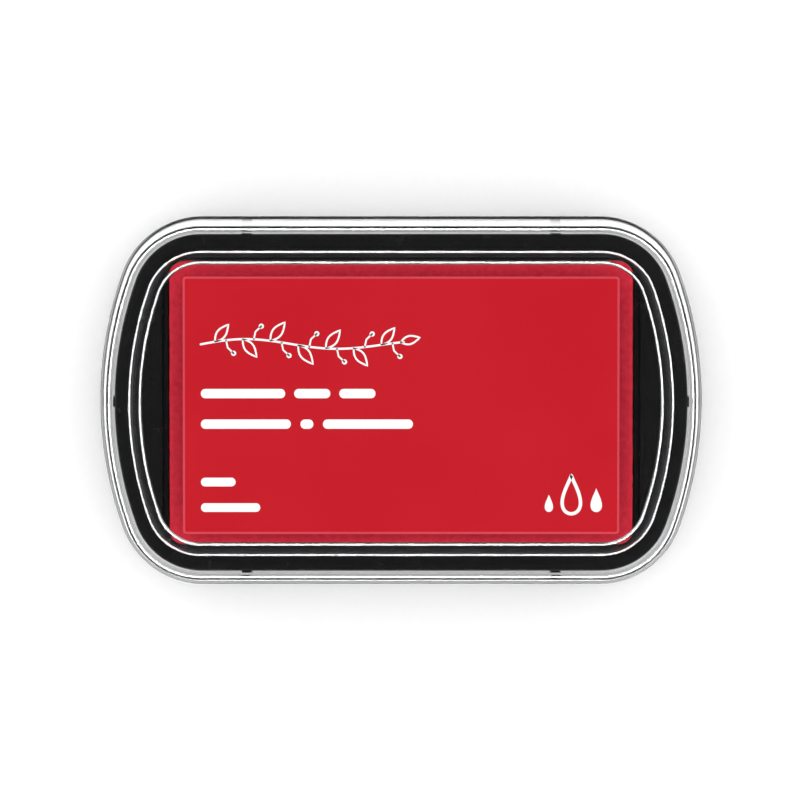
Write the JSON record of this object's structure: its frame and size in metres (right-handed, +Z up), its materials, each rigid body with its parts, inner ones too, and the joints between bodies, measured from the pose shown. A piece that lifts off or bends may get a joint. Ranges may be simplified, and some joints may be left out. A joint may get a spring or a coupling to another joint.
{
  "type": "ink pad",
  "caption": "Stamping ink pad: foam pad in a bowed rectangular tray, under a clear stepped lid with a flat label, which lifts straight off.",
  "frame": {"origin": "middle of the footprint, on the surface that the closed pad stands on", "axes": "+X along the length, +Y towards the rear long side, +Z up through the lid; the label reads upright seen from -Y"},
  "size_m": [0.098, 0.06, 0.0191],
  "materials": {
    "clear_plastic": "clear polished polystyrene",
    "printed_film": "satin printed film",
    "black_plastic": "fine satin moulded",
    "inked_foam": "fine open-cell foam, ink soaked",
    "inked_felt": "dense felt, ink soaked",
    "adhesive_sheet": "acrylic transfer adhesive",
    "paper_label": "plain coated paper"
  },
  "bodies": {
    "base": {"base_shell": "black_plastic", "pad_carrier": "black_plastic", "felt_adhesive": "adhesive_sheet", "reservoir_felt": "inked_felt", "foam_pad": "inked_foam", "base_label": "paper_label"},
    "lid": {"lid_shell": "clear_plastic", "lid_label": "printed_film"}
  },
  "joints": [
    {"name": "lid_lift", "type": "slide", "parent": "base", "child": "lid", "axis": [0, 0, 1], "range_m": [0, 0.03]}
  ]
}
